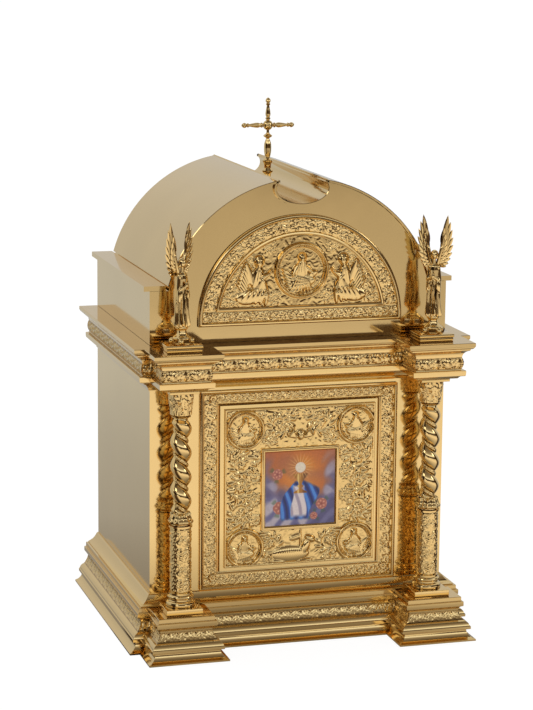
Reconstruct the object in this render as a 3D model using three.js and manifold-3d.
import * as THREE from 'three';
import { mergeVertices } from 'three/addons/utils/BufferGeometryUtils.js';
import Module from 'manifold-3d';

// An altar tabernacle in polished gilt metal: a stepped base, a hollow cabinet with one door,
// two twisted columns, a cornice, an arched attic under a barrel roof, two angels and a cross.
// Millimetres, +Z up, the front faces -Y, the origin is under the middle of the base.

const wasm = await Module();
wasm.setup();

// Gap kept between pieces that touch, and the running gap round the door
const gap = 0.3;
const doorGap = 0.6;
const weld = 0.0004;

// Cabinet
const bodyWidth = 400;
const bodyDepth = 315;
const wall = 4;
const openingLip = 7;

// Base moulding: how far it stands out at the floor, and the height of each member
const baseFlare = 34;
const footFillet = 2.5;
const footCoveHeight = 11.5;
const footCoveDepth = 10;
const ledgeFilletHeight = 5.5;
const ledgeFilletReach = 4.5;
const baseBandHeight = 18.5;
const baseBandDepth = 13.5;
const fasciaCoveHeight = 8;
const fasciaCoveReach = 5.5;
const fasciaHeight = 5.5;
const fasciaStep = 2;
const weatheringHeight = 14;
const weatheringTopReach = 2;
const cabinetSeat = 3;

// Forward ressauts of base and cornice, which stand over and under the columns
const ressautReach = 54;
const ressautInner = 149;
const ressautOuter = 187;

// Columns: place, and the height and radius of each piece
const columnX = 168;
const columnForward = 37;
const columnPlinthWidth = 48;
const columnPlinthHeight = 7.4;
const columnRingsHeight = 15;
const columnRingRadius = 19;
const columnNeckRadius = 15;
const drumHeight = 90.8;
const drumRadius = 14.2;
const drumLeafDepth = 1.6;
const collarHeight = 14;
const shaftHeight = 126;
const shaftRadius = 9.2;
const shaftOffset = 3.8;
const shaftTurns = 4;
const capitalHeight = 37.6;
const capitalFootRadius = 12.6;
const capitalTopRadius = 18;
const abacusWidth = 39;
const abacusHeight = 4.5;

// Cornice, from the wall upwards
const soffitHeight = 10;
const corniceCoveHeight = 13.6;
const corniceCoveReach = 14.5;
const corniceFilletHeight = 8;
const corniceFilletReach = 2;
const corniceBandInset = 4.5;
const corniceBandHeight = 16;
const corniceBandSwell = 2;
const crownCoveHeight = 10.5;
const crownCoveReach = 8;
const crownHeight = 8.5;
const crownReach = 6;
const crownBevelHeight = 2.5;
const crownBevelInset = 4.5;
const corniceTopPlate = 6;

// Attic, roof ledges and barrel roof
const atticHeight = 69;
const ledgeHeight = 6.5;
const ledgeReach = 7.6;
const vaultRadius = 184;
const vaultCentreDrop = 50;
const roofSheet = 3;
const roofLip = 5;
const troughHalfWidth = 34.8;
const troughHalfHeight = 19.6;
const troughBottomDrop = 33;

// Door: surround, leaf and what the leaf carries
const surroundWidth = 268;
const surroundBorder = 25.4;
const surroundLowBorder = 23.2;
const surroundTopBorder = 18.6;
const surroundMargin = 0.5;
const surroundTopMargin = 4;
const surroundThick = 5.7;
const surroundBeadWidth = 6;
const surroundBeadHeight = 3;
const leafThick = 6;
const leafStrip = 5.6;
const pivotRadius = 1.5;
const pivotLength = 4;
const pivotClearance = 0.5;
const rosetteRadius = 5.2;
const rosetteHeight = 3;
const rosetteInset = 16.5;
const reliefThick = 2;
const medallionRadius = 25;
const medallionX = 75.5;
const medallionZ = 79;
const medallionBead = 2.2;
const enamelWidth = 95;
const enamelHeight = 99;
const enamelThick = 1.6;
const enamelFrameWidth = 5.4;
const enamelFrameHeight = 3.6;
const keyholeCoverRadius = 6.5;
const keyholeCoverHeight = 3.2;
const keyholeCoverX = 92.7;

// Lunette
const lunetteRadius = 137;
const lunetteFieldRadius = 108.5;
const lunetteRise = 20.7;
const lunetteSillHeight = 23;
const lunetteThick = 3;
const lunetteBead = 3;
const lunetteMedallionRadius = 35;
const lunetteFigureX = 56;
const figureUnit = 1;

// Angels
const angelPlinthWidth = 47.5;
const angelPlinthDepth = 40;
const angelPlinthHeight = 8.5;
const angelHeight = 108;
const angelTurn = 28;
const angelWingRise = 52;

// Cross
const crossHeight = 122.3;
const crossArmReach = 36.8;
const crossArmFromTop = 37.2;
const crossTubeRadius = 4;
const crossFootRadius = 8.4;

// Ornament spacing along the moulded bands
const leafPitch = 42;
const scrollSteps = 8;

// Levels worked out from the heights above
const pedestalTop = footFillet + footCoveHeight + ledgeFilletHeight + baseBandHeight
  + fasciaCoveHeight + 2 * fasciaHeight;
const weatheringTop = pedestalTop + weatheringHeight;
const cabinetFoot = pedestalTop + cabinetSeat;
const columnFoot = pedestalTop + gap;
const ringsFoot = columnFoot + columnPlinthHeight;
const drumFoot = ringsFoot + columnRingsHeight + gap;
const shaftFoot = drumFoot + drumHeight + gap;
const capitalFoot = shaftFoot + collarHeight + shaftHeight + gap;
const ressautSoffit = capitalFoot + capitalHeight + gap;
const corniceFoot = ressautSoffit - soffitHeight;
const corniceHeight = corniceCoveHeight + corniceFilletHeight + corniceBandHeight
  + crownCoveHeight + crownHeight + crownBevelHeight;
const corniceTop = corniceFoot + corniceHeight;
const cabinetTop = corniceTop - corniceTopPlate - gap;
const atticFoot = corniceTop + gap;
const atticTop = atticFoot + atticHeight;
const ledgeFoot = atticTop + gap;
const ledgeTop = ledgeFoot + ledgeHeight;
const vaultCentre = ledgeTop - vaultCentreDrop;
const troughBottom = vaultCentre + vaultRadius - troughBottomDrop;
const troughCentre = troughBottom + troughHalfHeight;
const crossFootSink = troughHalfHeight * (1 - Math.sqrt(1 - (crossFootRadius / troughHalfWidth) ** 2));
const crossFoot = troughBottom + crossFootSink + 2 * gap;
const angelFoot = corniceTop + gap + angelPlinthHeight + gap;
const surroundFoot = weatheringTop + surroundMargin;
const surroundTop = corniceFoot - surroundTopMargin;
const leafWidth = surroundWidth - 2 * surroundBorder;
const leafFoot = surroundFoot + surroundLowBorder;
const leafTop = surroundTop - surroundTopBorder;
const leafMiddle = (leafFoot + leafTop) / 2;
const leafFront = gap + leafThick;
const reliefFront = leafFront + gap + reliefThick;
const enamelMiddle = leafMiddle - 3.5;
const lunetteFoot = atticFoot + lunetteRise;

const gilt = { color: 0xd9a441, roughness: 0.12, metalness: 1 };

// A closed geometry as a solid that can be joined and cut
function solidOf(geometry) {
  const bare = geometry.clone();
  bare.deleteAttribute('normal');
  bare.deleteAttribute('uv');
  const merged = mergeVertices(bare, 1e-4);
  const mesh = new wasm.Mesh({
    numProp: 3,
    vertProperties: new Float32Array(merged.attributes.position.array),
    triVerts: new Uint32Array(merged.index.array),
  });
  return new wasm.Manifold(mesh);
}

// A solid back as a geometry, with points closer than a weld joined and the slivers between them gone
function geometryOf(solid) {
  const mesh = solid.getMesh();
  const geometry = new THREE.BufferGeometry();
  geometry.setAttribute('position', new THREE.BufferAttribute(mesh.vertProperties, 3));
  geometry.setIndex(new THREE.BufferAttribute(mesh.triVerts, 1));
  const welded = mergeVertices(geometry, weld);
  const kept = [];
  for (let i = 0; i < welded.index.count; i += 3) {
    const [a, b, c] = welded.index.array.slice(i, i + 3);
    if (a !== b && b !== c && c !== a) kept.push(a, b, c);
  }
  welded.setIndex(kept);
  return welded;
}

// Many geometries joined into one solid
function joined(geometries) {
  let whole = solidOf(geometries[0]);
  for (const geometry of geometries.slice(1)) whole = whole.add(solidOf(geometry));
  return whole;
}

// A box between two corners
function boxBetween(x0, y0, z0, x1, y1, z1) {
  const box = new THREE.BoxGeometry(x1 - x0, y1 - y0, z1 - z0);
  return box.translate((x0 + x1) / 2, (y0 + y1) / 2, (z0 + z1) / 2);
}

// Closed skin through rings of points, each ring counter-clockwise seen from its end
function loftThrough(rings) {
  const count = rings[0].length;
  const points = rings.flat();
  const faces = [];
  for (let r = 0; r + 1 < rings.length; r += 1) {
    for (let i = 0; i < count; i += 1) {
      const a = r * count + i;
      const b = r * count + (i + 1) % count;
      faces.push(a, b, b + count, a, b + count, a + count);
    }
  }
  const last = (rings.length - 1) * count;
  for (const [p, q, s] of capFaces(rings[0])) faces.push(p, s, q);
  for (const [p, q, s] of capFaces(rings.at(-1))) faces.push(last + p, last + q, last + s);
  const geometry = new THREE.BufferGeometry().setFromPoints(points);
  geometry.setIndex(faces);
  return geometry;
}

// The triangles that close a flat ring, found in the ring's own plane
function capFaces(ring) {
  const middle = new THREE.Vector3();
  for (const point of ring) middle.addScaledVector(point, 1 / ring.length);
  const normal = new THREE.Vector3();
  for (let i = 0; i < ring.length; i += 1) {
    const here = ring[i].clone().sub(middle);
    const next = ring[(i + 1) % ring.length].clone().sub(middle);
    normal.add(here.cross(next));
  }
  normal.normalize();
  const side = ring[0].clone().sub(middle).normalize();
  const up = normal.clone().cross(side);
  const flat = ring.map((point) => {
    const arm = point.clone().sub(middle);
    return new THREE.Vector2(arm.dot(side), arm.dot(up));
  });
  return THREE.ShapeUtils.triangulateShape(flat, []);
}

// A turned piece from [radius, height] pairs, both ends closed on the axis
function turned(outline, sides) {
  const points = [[0, outline[0][1]], ...outline, [0, outline.at(-1)[1]]];
  const lathe = new THREE.LatheGeometry(points.map(([r, z]) => new THREE.Vector2(r, z)), sides);
  return lathe.rotateX(Math.PI / 2);
}

// A moulding's outline drawn as moves of [outwards, upwards, bulge]; a bulge makes a curved member
function profileOf(start, moves) {
  const steps = 2;
  const outline = [start];
  for (const [out, up, bulge = 0] of moves) {
    const [p, z] = outline.at(-1);
    const length = Math.hypot(out, up);
    const parts = bulge === 0 ? 1 : steps;
    for (let i = 1; i <= parts; i += 1) {
      const t = i / parts;
      const swell = bulge * 4 * t * (1 - t);
      outline.push([p + out * t + swell * up / length, z + up * t - swell * out / length]);
    }
  }
  return outline;
}

// Plan of base and cornice at an offset from the wall: flat back, two ressauts in front
function ressautPlan(offset) {
  const side = bodyWidth / 2 + offset;
  const outer = ressautOuter + offset;
  const inner = ressautInner - offset;
  const front = -(ressautReach + offset);
  const right = [[inner, -offset], [inner, front], [outer, front], [outer, -offset], [side, -offset],
    [side, bodyDepth]];
  const left = right.map(([x, y]) => [-x, y]).reverse();
  return [...left, ...right];
}

// Plan of the wall's own moulding, without ressauts
function wallPlan(offset) {
  const side = bodyWidth / 2 + offset;
  return [[-side, bodyDepth], [-side, -offset], [side, -offset], [side, bodyDepth]];
}

function moulding(plan, profile) {
  return loftThrough(profile.map(([p, z]) => plan(p).map(([x, y]) => new THREE.Vector3(x, y, z))));
}

// One leaf of a band: a low eight-sided boss, slanted along the band
function leafBoss(length, height, proud) {
  const boss = new THREE.OctahedronGeometry(1);
  boss.scale(length / 2, proud, height / 2);
  return boss.rotateY(0.5);
}

// Leaves along the front and sides of a moulding at one offset and level
function bandLeaves(offset, level, height, proud, lean) {
  const plan = ressautPlan(offset);
  const leaves = [];
  for (let i = 0; i + 1 < plan.length; i += 1) {
    const from = new THREE.Vector2(...plan[i]);
    const along = new THREE.Vector2(...plan[i + 1]).sub(from);
    const count = Math.floor(along.length() / leafPitch);
    for (let k = 0; k < count; k += 1) {
      const place = from.clone().addScaledVector(along, (k + 0.5) / count);
      const leaf = leafBoss(leafPitch * 0.86, height, proud);
      if (k % 2 === 1) leaf.rotateY(-1);
      leaf.rotateX(lean);
      leaf.rotateZ(Math.atan2(along.y, along.x));
      leaves.push(leaf.translate(place.x, place.y, level));
    }
  }
  return leaves;
}

// Base: one moulding with ressauts, a sloped weathering at the wall, seats for cabinet and columns
function baseMoulding() {
  const profile = profileOf([baseFlare, 0], [
    [0, footFillet],
    [-footCoveDepth, footCoveHeight, -2],
    [ledgeFilletReach, 1],
    [0, ledgeFilletHeight - 1],
    [-baseBandDepth * 0.5, 2.5],
    [-baseBandDepth * 0.5, baseBandHeight - 2.5, 2.2],
    [fasciaCoveReach, fasciaCoveHeight, -1.2],
    [0, fasciaHeight],
    [-fasciaStep, 0.5],
    [-fasciaStep / 4, fasciaHeight - 0.5],
  ]);
  const topReach = profile.at(-1)[0];
  const weathering = profileOf([topReach, pedestalTop - 1], [
    [0, 1],
    [weatheringTopReach - topReach, weatheringHeight, -1.5],
  ]);
  const bandLevel = footFillet + footCoveHeight + ledgeFilletHeight + baseBandHeight * 0.57;
  const bandOffset = baseFlare - footCoveDepth + ledgeFilletReach - baseBandDepth * 0.75;
  const side = bodyWidth / 2 + gap;
  const half = columnPlinthWidth / 2 + gap;
  let whole = joined([moulding(ressautPlan, profile), moulding(wallPlan, weathering),
    ...bandLeaves(bandOffset + 2.2, bandLevel, baseBandHeight * 0.72, 1.8, -0.4)]);
  const seat = boxBetween(-side, -gap, cabinetFoot - gap, side, bodyDepth + 1, weatheringTop + 1);
  whole = whole.subtract(solidOf(seat));
  for (const x of [-columnX, columnX]) {
    const foot = boxBetween(x - half, -columnForward - half, pedestalTop,
      x + half, -columnForward + half, weatheringTop + 1);
    whole = whole.subtract(solidOf(foot));
  }
  return geometryOf(whole);
}

// Cornice: the same plan, closed on top, hollow below where it sits over the cabinet
function corniceMoulding() {
  const profile = profileOf([0, corniceFoot], [
    [corniceCoveReach, corniceCoveHeight, -1.6],
    [corniceFilletReach, corniceFilletHeight * 0.4],
    [0, corniceFilletHeight * 0.6],
    [-corniceBandInset, 1.5],
    [0, corniceBandHeight - 1.5, corniceBandSwell],
    [crownCoveReach, crownCoveHeight, -1.6],
    [crownReach - 1, crownHeight - 3],
    [1, 3],
    [-crownBevelInset, crownBevelHeight],
  ]);
  const bandLevel = corniceFoot + corniceCoveHeight + corniceFilletHeight + corniceBandHeight * 0.55;
  const bandOffset = corniceCoveReach + corniceFilletReach - corniceBandInset + corniceBandSwell;
  const side = bodyWidth / 2 + gap;
  const reach = ressautReach + baseFlare;
  const breadth = ressautOuter - ressautInner;
  const behind = columnForward - abacusWidth / 2 - 6;
  let whole = joined([moulding(ressautPlan, profile),
    ...bandLeaves(bandOffset, bandLevel, corniceBandHeight * 0.72, 1.7, 0)]);
  const pocket = boxBetween(-side, -gap, corniceFoot - 1, side, bodyDepth + 1, cabinetTop + gap);
  whole = whole.subtract(solidOf(pocket));
  for (const x of [-columnX, columnX]) {
    const below = boxBetween(x - breadth, -reach, corniceFoot - 1, x + breadth, -behind, ressautSoffit);
    whole = whole.subtract(solidOf(below));
  }
  return geometryOf(whole);
}

// Cabinet: a hollow box with the door's opening in its front wall
function cabinetBody() {
  const side = bodyWidth / 2;
  const outer = solidOf(boxBetween(-side, 0, cabinetFoot, side, bodyDepth, cabinetTop));
  const room = boxBetween(-side + wall, wall, cabinetFoot + wall,
    side - wall, bodyDepth - wall, cabinetTop - wall);
  const half = leafWidth / 2 - openingLip;
  const opening = boxBetween(-half, -1, leafFoot + openingLip, half, wall + 1, leafTop - openingLip);
  return geometryOf(outer.subtract(solidOf(room)).subtract(solidOf(opening)));
}

// A rectangular frame with a raised bead, standing on the plane y = -back
function beadedFrame(halfOuter, zLow, zHigh, [border, lowBorder, topBorder], back, thick, bead, beadHeight) {
  const inset = (d) => {
    const low = zLow + d * lowBorder / border;
    const high = zHigh - d * topBorder / border;
    const half = halfOuter - d;
    return [[-half, low], [half, low], [half, high], [-half, high]];
  };
  const levels = [[0, back], [0, back + thick], [bead * 0.25, back + thick + beadHeight],
    [bead * 0.75, back + thick + beadHeight], [bead, back + thick], [border, back + thick], [border, back]];
  const points = levels.map(([d, y]) => inset(d).map(([x, z]) => new THREE.Vector3(x, -y, z))).flat();
  const faces = [];
  for (let r = 0; r < levels.length; r += 1) {
    for (let i = 0; i < 4; i += 1) {
      const a = r * 4 + i;
      const b = r * 4 + (i + 1) % 4;
      const c = ((r + 1) % levels.length) * 4 + (i + 1) % 4;
      const d = ((r + 1) % levels.length) * 4 + i;
      faces.push(a, b, c, a, c, d);
    }
  }
  const geometry = new THREE.BufferGeometry().setFromPoints(points);
  geometry.setIndex(faces);
  return geometry;
}

// A raised ridge along a path of [x, z] points on the plane y = -surface
function ridge(path, surface, width, height) {
  const rings = path.map(([x, z], i) => {
    const [ax, az] = path[Math.max(i - 1, 0)];
    const [bx, bz] = path[Math.min(i + 1, path.length - 1)];
    const length = Math.hypot(bx - ax, bz - az);
    const nx = -(bz - az) / length;
    const nz = (bx - ax) / length;
    const taper = 0.35 + 0.65 * Math.sin(Math.PI * Math.min(1, (i + 0.6) / path.length * 1.25));
    const half = width / 2 * taper;
    return [
      new THREE.Vector3(x - nx * half, -surface + 0.6, z - nz * half),
      new THREE.Vector3(x + nx * half, -surface + 0.6, z + nz * half),
      new THREE.Vector3(x, -surface - height * taper, z),
    ];
  });
  return loftThrough(rings);
}

// A leaf scroll: a spiral that winds in towards its centre
function scrollPath(cx, cz, radius, start, turn) {
  const path = [];
  for (let i = 0; i <= scrollSteps; i += 1) {
    const t = i / scrollSteps;
    const angle = start + turn * t * 1.35 * Math.PI * 2;
    const r = radius * (1 - 0.78 * t);
    path.push([cx + r * Math.cos(angle), cz + r * Math.sin(angle)]);
  }
  return path;
}

// A closed round bead on the plane y = -surface
function roundBead(cx, cz, surface, radius, width, height, sides) {
  const section = [[radius - width / 2, -0.6], [radius + width / 2, -0.6], [radius, height],
    [radius - width / 2, -0.6]];
  const bead = new THREE.LatheGeometry(section.map(([r, h]) => new THREE.Vector2(r, h)), sides);
  return bead.rotateX(Math.PI).translate(cx, -surface, cz);
}

// A swelling form of a relief: a low ellipsoid that comes out of the plane y = -surface
function reliefLump(x, z, surface, halfWidth, halfHeight, proud, turn = 0) {
  const lump = new THREE.SphereGeometry(1, 6, 4);
  return lump.scale(halfWidth, proud, halfHeight).rotateY(turn).translate(x, -surface, z);
}

// A relief cut flat along its back, so that it lies on the plane y = -back
function flatBacked(solid, back) {
  const reach = bodyWidth;
  return solid.subtract(solidOf(boxBetween(-reach, -back, -reach, reach, -back + 40, 3 * reach)));
}

// One leaf of a flat scroll band on the plane y = -surface
function bandLeaf(x, z, surface, halfLength, halfHeight, proud, turn) {
  const leaf = new THREE.OctahedronGeometry(1).scale(halfLength, proud, halfHeight);
  return leaf.rotateY(turn).translate(x, -surface, z);
}

// Fixed frame round the door, with a scroll band and the two pivot holes of the leaf
function doorSurround() {
  const half = surroundWidth / 2;
  const front = gap + surroundThick;
  const borders = [surroundBorder, surroundLowBorder, surroundTopBorder];
  const parts = [beadedFrame(half, surroundFoot, surroundTop, borders, gap, surroundThick,
    surroundBeadWidth, surroundBeadHeight)];
  const bandX = half - surroundBorder / 2 - surroundBeadWidth / 2;
  const bandLow = surroundFoot + surroundLowBorder / 2 + surroundBeadWidth / 2;
  const bandHigh = surroundTop - surroundTopBorder / 2 - surroundBeadWidth * 0.35;
  const middle = (surroundTop + surroundFoot) / 2;
  const radius = (surroundBorder - surroundBeadWidth) * 0.36;
  const count = 8;
  for (let k = 0; k < count; k += 1) {
    const place = (k + 0.5) / count * 2 - 1;
    const turn = k % 2 === 0 ? 1 : -1;
    const along = place * (surroundWidth / 2 - surroundBorder);
    const upright = place * (middle - surroundFoot - surroundLowBorder);
    for (const z of [bandLow, bandHigh]) {
      const high = z === bandHigh ? radius * 0.7 : radius;
      parts.push(bandLeaf(along, z, front, radius * 1.8, high, 2, turn * 0.3));
    }
    for (const side of [-1, 1]) {
      parts.push(bandLeaf(side * bandX, middle + upright, front, radius, radius * 1.8, 2, turn * 0.3));
    }
  }
  let whole = joined(parts);
  const hole = new THREE.CylinderGeometry(pivotRadius + pivotClearance, pivotRadius + pivotClearance,
    leafTop - leafFoot + 2 * (pivotLength + 2 * doorGap), 24);
  hole.rotateX(Math.PI / 2).translate(pivotX(), pivotY(), leafMiddle);
  whole = whole.subtract(solidOf(hole));
  return geometryOf(whole);
}

// The hinge axis stands inside the leaf's rounded right edge
function pivotX() {
  return leafWidth / 2 - doorGap - leafThick / 2;
}

function pivotY() {
  return -(gap + leafThick / 2);
}

// Door leaf: a flat plate with a rounded hinge edge and a pivot at top and bottom
function doorLeaf() {
  const outline = new THREE.Shape();
  const half = leafThick / 2;
  outline.moveTo(-leafWidth / 2 + doorGap, -half);
  outline.lineTo(pivotX(), -half);
  outline.absarc(pivotX(), 0, half, -Math.PI / 2, Math.PI / 2, false);
  outline.lineTo(-leafWidth / 2 + doorGap, half);
  const height = leafTop - leafFoot - 2 * doorGap;
  const plate = new THREE.ExtrudeGeometry(outline, { depth: height, bevelEnabled: false, curveSegments: 6 });
  plate.translate(0, pivotY(), leafFoot + doorGap);
  const pivot = new THREE.CylinderGeometry(pivotRadius, pivotRadius, height + 2 * pivotLength, 24);
  pivot.rotateX(Math.PI / 2).translate(pivotX(), pivotY(), leafMiddle);
  return geometryOf(joined([plate, pivot]));
}

// Cast relief on the leaf: four ringed medallions, leaf scrolls, a small mask above, a lamb below
function doorRelief() {
  const back = leafFront + gap;
  const halfX = leafWidth / 2 - doorGap - leafStrip;
  const halfZ = (leafTop - leafFoot) / 2 - doorGap - leafStrip;
  const r = medallionRadius;
  const parts = [boxBetween(-halfX, -reliefFront, leafMiddle - halfZ, halfX, -back, leafMiddle + halfZ)];
  for (const sx of [-1, 1]) {
    for (const sz of [-1, 1]) {
      const cx = sx * medallionX;
      const cz = leafMiddle + sz * medallionZ;
      parts.push(roundBead(cx, cz, reliefFront, medallionRadius, medallionBead * 1.6, medallionBead, 12));
      parts.push(reliefLump(cx, cz - r * 0.12, reliefFront, r * 0.44, r * 0.56, r * 0.14));
      parts.push(reliefLump(cx - sx * r * 0.12, cz + r * 0.48, reliefFront, r * 0.2, r * 0.22, r * 0.17));
      parts.push(bandLeaf(cx, cz + r * 0.2, reliefFront, r * 0.76, r * 0.28, r * 0.12, 0));
    }
    parts.push(ridge(scrollPath(sx * r * 0.96, leafMiddle + medallionZ, r * 0.76, Math.PI / 2 - sx * 0.4, sx),
      reliefFront, r * 0.24, r * 0.12));
    parts.push(ridge(scrollPath(sx * r * 1.4, leafMiddle - medallionZ - r * 0.12, r * 0.48, Math.PI / 2, -sx),
      reliefFront, r * 0.2, r * 0.1));
    for (const sz of [-1, 1]) {
      const z = leafMiddle + sz * r * 1.08 - r * 0.12;
      parts.push(ridge(scrollPath(sx * medallionX, z, r * 0.84, sz * Math.PI / 2, sx * sz),
        reliefFront, r * 0.26, r * 0.12));
    }
  }
  parts.push(reliefLump(0, leafMiddle + medallionZ - r * 0.32, reliefFront, r * 0.24, r * 0.32, r * 0.2));
  const lambZ = leafMiddle - medallionZ - r * 0.24;
  parts.push(reliefLump(0, lambZ - r * 0.28, reliefFront, r * 0.96, r * 0.16, r * 0.12));
  parts.push(reliefLump(-r * 0.08, lambZ, reliefFront, r * 0.68, r * 0.32, r * 0.2));
  parts.push(reliefLump(r * 0.56, lambZ + r * 0.32, reliefFront, r * 0.24, r * 0.26, r * 0.22));
  let whole = flatBacked(joined(parts), back);
  const clear = enamelWidth / 2 + enamelFrameWidth + gap;
  const clearZ = enamelHeight / 2 + enamelFrameWidth + gap;
  whole = whole.subtract(solidOf(boxBetween(-clear, -reliefFront - 20, enamelMiddle - clearZ,
    clear, -back + 1, enamelMiddle + clearZ)));
  const hole = keyholeCoverRadius + gap;
  const seat = new THREE.CylinderGeometry(hole, hole, 30, 14);
  seat.translate(-keyholeCoverX, -back - 14, leafMiddle - 2);
  whole = whole.subtract(solidOf(seat));
  return geometryOf(whole);
}

function enamelFrame() {
  const half = enamelWidth / 2 + enamelFrameWidth;
  const halfZ = enamelHeight / 2 + enamelFrameWidth;
  const border = enamelFrameWidth - gap;
  return beadedFrame(half, enamelMiddle - halfZ, enamelMiddle + halfZ, [border, border, border],
    leafFront + gap, reliefThick, enamelFrameWidth * 0.8, enamelFrameHeight);
}

function enamelPlaque() {
  const half = enamelWidth / 2;
  const halfZ = enamelHeight / 2;
  return boxBetween(-half, -leafFront - gap - enamelThick - reliefThick, enamelMiddle - halfZ,
    half, -leafFront - gap, enamelMiddle + halfZ);
}

// A small domed rosette lying against the plane y = -surface
function rosette(x, z, surface, radius, height) {
  const dome = turned([[radius, 0], [radius, height * 0.4], [radius * 0.5, height]], 10);
  return dome.rotateX(Math.PI / 2).translate(x, -surface, z);
}

// Column foot: square plinth and turned rings
function columnBase() {
  const half = columnPlinthWidth / 2;
  const plinth = boxBetween(-half, -half, 0, half, half, columnPlinthHeight);
  const r = columnRingRadius;
  const n = columnNeckRadius;
  const h = columnRingsHeight;
  const rings = turned([[r, -0.5], [r, h * 0.32], [n, h * 0.42], [n, h * 0.58], [r * 0.9, h * 0.68],
    [r * 0.9, h * 0.82], [n, h]], 16);
  return geometryOf(joined([plinth, rings.translate(0, 0, columnPlinthHeight)]));
}

// Rings of points round an axis, with the radius given by angle and height
function leafyTurning(levels, sides, radiusAt) {
  const rings = levels.map((z) => {
    const ring = [];
    for (let i = 0; i < sides; i += 1) {
      const angle = i / sides * Math.PI * 2;
      const r = radiusAt(angle, z);
      ring.push(new THREE.Vector3(r * Math.cos(angle), r * Math.sin(angle), z));
    }
    return ring;
  });
  return loftThrough(rings);
}

function evenLevels(height, count) {
  return Array.from({ length: count + 1 }, (unused, i) => height * i / count);
}

// Drum: a cylinder covered with upright leaves in low relief
function columnDrum() {
  const rows = 8;
  return leafyTurning(evenLevels(drumHeight, rows), 12, (angle, z) => {
    const row = Math.round(z / drumHeight * rows);
    if (row === 0 || row === rows) return drumRadius;
    const wave = Math.cos(angle * 6 + (row % 2) * Math.PI);
    return drumRadius - drumLeafDepth / 2 + drumLeafDepth / 2 * wave;
  });
}

// Shaft: a round bar wound round its own axis, rising from a leaf collar
function columnShaft() {
  const collar = leafyTurning(evenLevels(collarHeight, 3), 12, (angle, z) => {
    const t = z / collarHeight;
    const leaf = 0.5 + 0.5 * Math.cos(angle * 6);
    return drumRadius - 2.4 + 2.6 * Math.sin(Math.PI * t) + leaf * 1.4 * t;
  });
  const sides = 8;
  const steps = 30;
  const rings = [];
  for (let i = 0; i <= steps; i += 1) {
    const t = i / steps;
    const ease = Math.min(1, t * 9, (1 - t) * 9);
    const turn = -t * shaftTurns * Math.PI * 2;
    const ring = [];
    for (let k = 0; k < sides; k += 1) {
      const angle = k / sides * Math.PI * 2;
      const x = shaftOffset * ease * Math.cos(turn) + shaftRadius * Math.cos(angle);
      const y = shaftOffset * ease * Math.sin(turn) + shaftRadius * Math.sin(angle);
      ring.push(new THREE.Vector3(x, y, collarHeight - 1 + t * (shaftHeight + 1)));
    }
    rings.push(ring);
  }
  return geometryOf(joined([collar, loftThrough(rings)]));
}

// Capital: a leaf bell that flares up to a square abacus
function columnCapital() {
  const bellHeight = capitalHeight - abacusHeight;
  const bell = leafyTurning(evenLevels(bellHeight + 0.5, 5), 12, (angle, z) => {
    const t = Math.min(1, z / bellHeight);
    const flare = capitalFootRadius + (capitalTopRadius - capitalFootRadius) * t ** 2;
    const leaf = Math.cos(angle * 6 + (t > 0.5 ? Math.PI : 0));
    return flare + leaf * 0.9 * Math.sin(Math.PI * 2 * t) ** 2;
  });
  const half = abacusWidth / 2;
  const abacus = boxBetween(-half, -half, bellHeight, half, half, capitalHeight);
  return geometryOf(joined([bell, abacus]));
}

// Outline of the arched gable at a given radius, from shoulder to shoulder
function archPoints(radius, centre, low, steps) {
  const start = Math.asin((low - centre) / radius);
  const points = [];
  for (let i = 0; i <= steps; i += 1) {
    const angle = start + (Math.PI - 2 * start) * i / steps;
    points.push([radius * Math.cos(angle), centre + radius * Math.sin(angle)]);
  }
  return points;
}

// A shape in the x-z plane carried through the depth between two y values
function throughDepth(points, yFront, yBack) {
  const shape = new THREE.Shape(points.map(([x, z]) => new THREE.Vector2(x, z)));
  const geometry = new THREE.ExtrudeGeometry(shape, { depth: yBack - yFront, bevelEnabled: false });
  return geometry.rotateX(Math.PI / 2).translate(0, yBack, 0);
}

function troughPoints(grow) {
  const steps = 20;
  return Array.from({ length: steps }, (unused, i) => {
    const angle = i / steps * Math.PI * 2;
    return [(troughHalfWidth + grow) * Math.cos(angle), troughCentre + (troughHalfHeight + grow) * Math.sin(angle)];
  });
}

// Attic: straight walls up to the shoulders, then the arched gable, notched for the trough
function atticBody() {
  const side = bodyWidth / 2;
  const radius = vaultRadius - roofSheet - gap;
  const arch = archPoints(radius, vaultCentre, atticTop, 28);
  const outline = [[-side, atticFoot], [side, atticFoot], [side, atticTop], ...arch, [-side, atticTop]];
  const whole = solidOf(throughDepth(outline, 0, bodyDepth));
  const notch = solidOf(throughDepth(troughPoints(roofSheet + gap), -1, bodyDepth + 1));
  return geometryOf(whole.subtract(notch));
}

// Roof: one bent sheet whose two halves turn down into the trough along the ridge
function barrelRoof() {
  const outer = archPoints(vaultRadius, vaultCentre, ledgeFoot, 28);
  const inner = archPoints(vaultRadius - roofSheet, vaultCentre, ledgeFoot, 28).reverse();
  const vault = solidOf(throughDepth([...outer, ...inner], -roofLip, bodyDepth));
  const trough = solidOf(throughDepth(troughPoints(roofSheet), -roofLip, bodyDepth));
  const channel = solidOf(throughDepth(troughPoints(0), -roofLip - 1, bodyDepth + 1));
  const cap = archPoints(vaultRadius, vaultCentre, troughCentre - troughHalfHeight - 2 * roofSheet, 12);
  const under = solidOf(throughDepth(cap, -roofLip, bodyDepth));
  const opening = boxBetween(-troughHalfWidth * 0.85, -roofLip - 1, troughCentre,
    troughHalfWidth * 0.85, bodyDepth + 1, troughCentre + vaultRadius);
  return geometryOf(vault.add(trough.intersect(under)).subtract(channel).subtract(solidOf(opening)));
}

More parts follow.
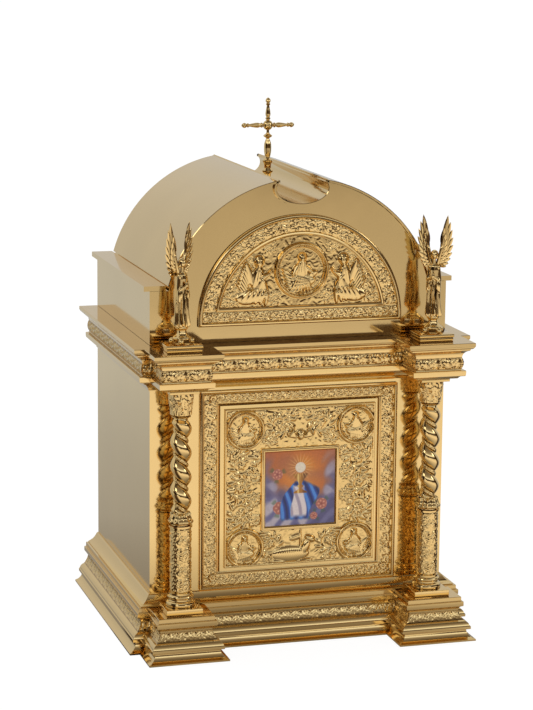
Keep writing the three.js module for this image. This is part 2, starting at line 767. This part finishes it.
// A ledge slab beside the vault's foot
function roofLedge(side) {
  const inner = Math.sqrt(vaultRadius ** 2 - (ledgeFoot - vaultCentre) ** 2) + gap;
  const outer = bodyWidth / 2 + ledgeReach;
  const low = Math.min(side * inner, side * outer);
  const high = Math.max(side * inner, side * outer);
  return boxBetween(low, 0, ledgeFoot, high, bodyDepth, ledgeTop);
}

// Arched frame of the lunette: outer bead, leaf band and a flat sill
function lunetteSurround() {
  const steps = 20;
  const plate = throughDepth(archPoints(lunetteRadius, vaultCentre, lunetteFoot, steps), -gap - lunetteThick, -gap);
  const field = throughDepth(archPoints(lunetteFieldRadius + gap, vaultCentre, lunetteFoot + lunetteSillHeight, steps),
    -gap - lunetteThick - 1, 0);
  const front = gap + lunetteThick;
  const rim = throughDepth(archPoints(lunetteRadius, vaultCentre, lunetteFoot, steps), -front - lunetteBead, -front + 0.5);
  const rimRoom = throughDepth(archPoints(lunetteRadius - 5, vaultCentre, lunetteFoot + 5, steps), -front - 9, 0);
  let whole = solidOf(plate).add(solidOf(rim).subtract(solidOf(rimRoom))).subtract(solidOf(field));
  const bandRadius = (lunetteRadius - 5 + lunetteFieldRadius) / 2;
  const leaves = [];
  const count = 13;
  for (let k = 0; k < count; k += 1) {
    const angle = Math.PI * (0.11 + 0.78 * k / (count - 1));
    leaves.push(bandLeaf(bandRadius * Math.cos(angle), vaultCentre + bandRadius * Math.sin(angle), front,
      11, 7, 2.2, -angle + (k % 2 === 0 ? 1.2 : 1.9)));
  }
  for (let k = 0; k < 8; k += 1) {
    const x = (k - 3.5) * 26;
    leaves.push(bandLeaf(x, lunetteFoot + 5 + (lunetteSillHeight - 5) / 2, front, 9.5, 6, 2.2, k % 2 ? 0.3 : -0.3));
  }
  for (const leaf of leaves) whole = whole.add(solidOf(leaf));
  return geometryOf(flatBacked(whole, gap));
}

// Relief in the lunette: a seated figure in a ringed medallion, a kneeling winged figure each side
function lunetteRelief() {
  const low = lunetteFoot + lunetteSillHeight + gap;
  const back = gap;
  const u = figureUnit;
  const front = back + 1.6 * u;
  const centre = vaultCentre + lunetteFieldRadius - lunetteMedallionRadius - 8 * u;
  const parts = [throughDepth(archPoints(lunetteFieldRadius, vaultCentre, low, 20), -front, -back)];
  parts.push(roundBead(0, centre, front, lunetteMedallionRadius, 4 * u, 3 * u, 20));
  parts.push(reliefLump(0, centre - 12 * u, front, 18 * u, 14 * u, 6 * u));
  parts.push(reliefLump(0, centre + 4 * u, front, 11 * u, 16 * u, 6.5 * u));
  parts.push(reliefLump(0, centre + 21 * u, front, 6 * u, 7 * u, 7 * u));
  for (const s of [-1, 1]) {
    const x = s * lunetteFigureX;
    const forms = [[0, 17, 13, 17, 6, 0.25], [9, 9, 14, 8, 5.5, 0], [-3, 38, 8.5, 13, 6, 0.2],
      [-5, 56, 5.5, 6.5, 6.5, 0], [12, 42, 5.5, 18, 4, -0.5], [29, 12, 10, 6, 3.4, 0.6],
      [-14, 30, 7, 3, 4, 0.4]];
    for (const [across, up, halfWidth, halfHeight, proud, turn] of forms) {
      parts.push(reliefLump(x + s * across * u, low + up * u, front, halfWidth * u, halfHeight * u,
        proud * u, s * turn));
    }
  }
  return geometryOf(flatBacked(joined(parts), back));
}

// Wing outline in parts of the angel's height: a rising leading edge and stepped feather tips
function wingOutline(side) {
  const h = angelHeight;
  const top = h * 0.943 + angelWingRise;
  const edge = [[0.03, 0.76], [0.055, 0.9], [0.075, 1.09], [0.11, 1.29], [0.134, top / h]];
  const tips = [[0.17, 1.32], [0.194, 1.21], [0.2, 1.09], [0.19, 0.97], [0.155, 0.84]];
  const points = edge.map(([x, z]) => [side * x * h, z * h]);
  for (const [x, z] of tips) {
    points.push([side * x * h, z * h]);
    points.push([side * (x - 0.035) * h, (z - 0.055) * h]);
  }
  points.push([side * 0.055 * h, h * 0.7]);
  if (side > 0) points.reverse();
  return points;
}

// One ring of a figure's body: an oval with soft folds
function ovalRing(cx, cy, z, rx, ry, folds, sides) {
  return Array.from({ length: sides }, (unused, i) => {
    const angle = i / sides * Math.PI * 2;
    const fold = 1 + folds * Math.cos(angle * sides / 2);
    return new THREE.Vector3(cx + rx * fold * Math.cos(angle), cy + ry * fold * Math.sin(angle), z);
  });
}

// Angel: round foot on ball feet, long robe, hands before the chest, wings raised
function angelFigure(turn) {
  const h = angelHeight;
  const foot = turned([[h * 0.09, h * 0.045], [h * 0.12, h * 0.06], [h * 0.12, h * 0.1], [h * 0.075, h * 0.13],
    [h * 0.09, h * 0.17], [h * 0.09, h * 0.19], [h * 0.06, h * 0.21]], 8);
  const parts = [foot];
  for (let k = 0; k < 4; k += 1) {
    const angle = Math.PI / 4 + k * Math.PI / 2;
    const ball = new THREE.OctahedronGeometry(h * 0.042);
    parts.push(ball.translate(h * 0.11 * Math.cos(angle), h * 0.11 * Math.sin(angle), h * 0.042));
  }
  const robe = [[0.2, 0.066, 0.06, 0.08], [0.3, 0.064, 0.058, 0.09], [0.44, 0.07, 0.062, 0.08],
    [0.56, 0.072, 0.06, 0.05], [0.68, 0.062, 0.05, 0.02], [0.77, 0.07, 0.054, 0], [0.83, 0.066, 0.048, 0],
    [0.865, 0.034, 0.03, 0], [0.89, 0.026, 0.026, 0]];
  parts.push(loftThrough(robe.map(([t, rx, ry, folds]) => ovalRing(0, 0, h * t, h * rx, h * ry, folds, 8))));
  const head = new THREE.SphereGeometry(h, 7, 5).rotateX(Math.PI / 2);
  parts.push(head.scale(0.043, 0.046, 0.055).translate(0, -h * 0.008, h * 0.938));
  for (const side of [-1, 1]) {
    const joints = [[0.07, 0.005, 0.8, 0.028], [0.088, -0.03, 0.7, 0.033], [0.075, -0.075, 0.67, 0.03],
      [0.0175, -0.1, 0.74, 0.0155]];
    const arm = joints.map(([x, y, t, r]) => ovalRing(side * x * h, y * h, h * t, r * h, r * h, 0, 6));
    parts.push(loftThrough(arm.reverse()));
    const wing = throughDepth(wingOutline(side), -h * 0.013, h * 0.013);
    parts.push(wing.translate(0, h * 0.045, 0));
  }
  return geometryOf(joined(parts)).rotateZ(THREE.MathUtils.degToRad(turn));
}

// A stepped square plinth for an angel
function angelPlinth() {
  const w = angelPlinthWidth / 2;
  const d = angelPlinthDepth / 2;
  const h = angelPlinthHeight;
  const lower = boxBetween(-w + 1.6, -d + 1.6, 0, w - 1.6, d - 1.6, h * 0.5);
  const upper = boxBetween(-w, -d, h * 0.45, w, d, h);
  return geometryOf(joined([lower, upper]));
}

// A baluster arm of the cross that ends in a bud, drawn along its length
function crossArm(length) {
  const r = crossTubeRadius;
  return turned([[r * 0.5, 0], [r * 0.5, length * 0.19], [r * 0.85, length * 0.24], [r * 0.7, length * 0.28],
    [r * 0.85, length * 0.4], [r * 0.42, length * 0.7], [r * 0.7, length * 0.75], [r * 0.5, length * 0.79],
    [r * 0.85, length * 0.88], [r * 0.15, length]], 6);
}

// Cross: spool foot, baluster shaft, collar, boss at the crossing and three arms
function altarCross() {
  const r = crossTubeRadius;
  const crossing = crossHeight - crossArmFromTop;
  const shaft = turned([[crossFootRadius, 0], [crossFootRadius, r * 0.6], [r * 1.2, r * 1.25],
    [r * 1.1, r * 4.75], [r * 1.85, r * 5.4], [r * 1.85, r * 5.9], [r * 1.1, r * 6.75], [r * 1.1, r * 8.25],
    [r * 1.75, r * 9.4], [r * 0.7, r * 10.5], [r * 1.3, r * 13], [r * 0.6, r * 16.75], [r * 1.5, r * 17.9],
    [r * 0.6, r * 18.75], [r * 0.6, crossing]], 7);
  const parts = [shaft, crossArm(crossArmFromTop).translate(0, 0, crossing)];
  for (const side of [-1, 1]) {
    const arm = crossArm(crossArmReach).rotateY(side * Math.PI / 2);
    parts.push(arm.translate(0, 0, crossing));
  }
  const boss = new THREE.SphereGeometry(r * 1.55, 8, 4);
  parts.push(boss.scale(1, 0.75, 1).translate(0, 0, crossing));
  return geometryOf(joined(parts));
}

const tabernacle = new THREE.Group();
tabernacle.position.y = -(bodyDepth + ressautReach + baseFlare) / 2 + ressautReach + baseFlare;

function place(name, geometry, look = gilt, x = 0, y = 0, z = 0) {
  const mesh = new THREE.Mesh(geometry, new THREE.MeshStandardMaterial(look));
  mesh.name = name;
  mesh.position.set(x, y, z);
  tabernacle.add(mesh);
}

const enamel = { color: 0x8f6f86, roughness: 0.2, metalness: 0 };

place('base_moulding', baseMoulding());
place('cabinet_body', cabinetBody());
place('cornice_moulding', corniceMoulding());
place('attic_body', atticBody());
place('barrel_roof', barrelRoof());
place('roof_ledge_left', roofLedge(-1));
place('roof_ledge_right', roofLedge(1));
place('lunette_surround', lunetteSurround());
place('lunette_relief', lunetteRelief());
place('door_surround', doorSurround());

for (const [side, x] of [['left', -1], ['right', 1]]) {
  const levels = [['lower', surroundFoot + rosetteInset], ['upper', surroundTop - rosetteInset * 0.58]];
  for (const [level, z] of levels) {
    const across = x * (surroundWidth / 2 - rosetteInset);
    place(`surround_rosette_${side}_${level}`,
      rosette(across, z, gap + surroundThick + gap, rosetteRadius, rosetteHeight));
  }
  const axis = x * columnX;
  place(`column_base_${side}`, columnBase(), gilt, axis, -columnForward, columnFoot);
  place(`column_drum_${side}`, columnDrum(), gilt, axis, -columnForward, drumFoot);
  place(`column_shaft_${side}`, columnShaft(), gilt, axis, -columnForward, shaftFoot);
  place(`column_capital_${side}`, columnCapital(), gilt, axis, -columnForward, capitalFoot);
  place(`angel_plinth_${side}`, angelPlinth(), gilt, axis, -columnForward, corniceTop + gap);
  place(`angel_${side}`, angelFigure(-x * angelTurn), gilt, axis, -columnForward, angelFoot);
}

place('altar_cross', altarCross(), gilt, 0, bodyDepth / 2, crossFoot);
place('door_leaf', doorLeaf());
place('door_relief', doorRelief());
place('enamel_frame', enamelFrame());
place('enamel_plaque', enamelPlaque(), enamel);
place('keyhole_cover', rosette(-keyholeCoverX, leafMiddle - 2, leafFront + gap, keyholeCoverRadius,
  keyholeCoverHeight + reliefThick));

export default tabernacle;
